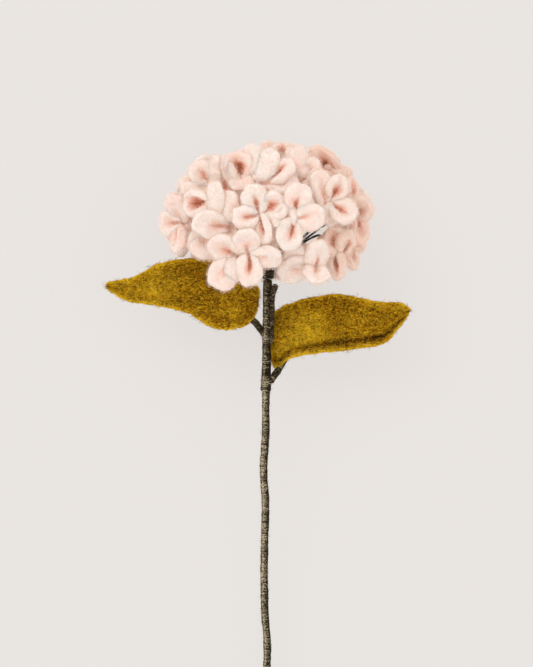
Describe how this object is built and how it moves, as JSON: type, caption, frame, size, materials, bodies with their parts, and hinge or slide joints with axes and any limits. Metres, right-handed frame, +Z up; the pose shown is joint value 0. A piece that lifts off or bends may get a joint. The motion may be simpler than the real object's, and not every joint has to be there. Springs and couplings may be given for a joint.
{
  "type": "felt hydrangea flower stem",
  "caption": "Handmade hydrangea flower of soft wool felt: a round head of four-petal florets on a thread-wound wire stem with two felt leaves, lying on its back.",
  "frame": {"origin": "middle of the box at the surface that the flower lies on", "axes": "+Z up from the surface, +Y along the stem towards the head, +X to the right with the head away from the viewer"},
  "size_m": [0.1574, 0.3584, 0.0904],
  "materials": {
    "petal_felt": "soft needle-felted wool, cream rims and pink creases, fuzzy",
    "leaf_felt": "thick ochre-olive wool felt with lighter and darker curled fibres",
    "winding_thread": "fine dark olive-brown thread wound in close turns",
    "stem_wire": "plain drawn wire"
  },
  "bodies": {
    "root": {"branch_hub": "winding_thread", "floret_01": "petal_felt", "floret_02": "petal_felt", "floret_03": "petal_felt", "floret_04": "petal_felt", "floret_05": "petal_felt", "floret_06": "petal_felt", "floret_07": "petal_felt", "floret_08": "petal_felt", "floret_09": "petal_felt", "floret_10": "petal_felt", "floret_11": "petal_felt", "floret_12": "petal_felt", "floret_13": "petal_felt", "floret_14": "petal_felt", "floret_15": "petal_felt", "floret_16": "petal_felt", "floret_17": "petal_felt", "floret_18": "petal_felt", "floret_19": "petal_felt", "floret_20": "petal_felt", "floret_21": "petal_felt", "floret_22": "petal_felt", "floret_23": "petal_felt", "floret_24": "petal_felt", "floret_25": "petal_felt", "floret_26": "petal_felt", "floret_27": "petal_felt", "floret_28": "petal_felt", "floret_29": "petal_felt", "floret_30": "petal_felt", "floret_31": "petal_felt", "floret_32": "petal_felt", "floret_33": "petal_felt", "floret_34": "petal_felt", "floret_35": "petal_felt", "floret_36": "petal_felt", "floret_37": "petal_felt", "floret_38": "petal_felt", "leaf_left": "leaf_felt", "leaf_right": "leaf_felt", "leaf_stalk_binding": "winding_thread", "leaf_stalk_left": "winding_thread", "leaf_stalk_right": "winding_thread", "stalk_bundle_1": "winding_thread", "stalk_bundle_2": "winding_thread", "stalk_bundle_3": "winding_thread", "stalk_bundle_4": "winding_thread", "stalk_bundle_5": "winding_thread", "stalk_bundle_6": "winding_thread", "stalk_end": "winding_thread", "stem_winding_lower": "winding_thread", "stem_winding_upper": "winding_thread", "stem_wire": "stem_wire"}
  },
  "joints": []
}
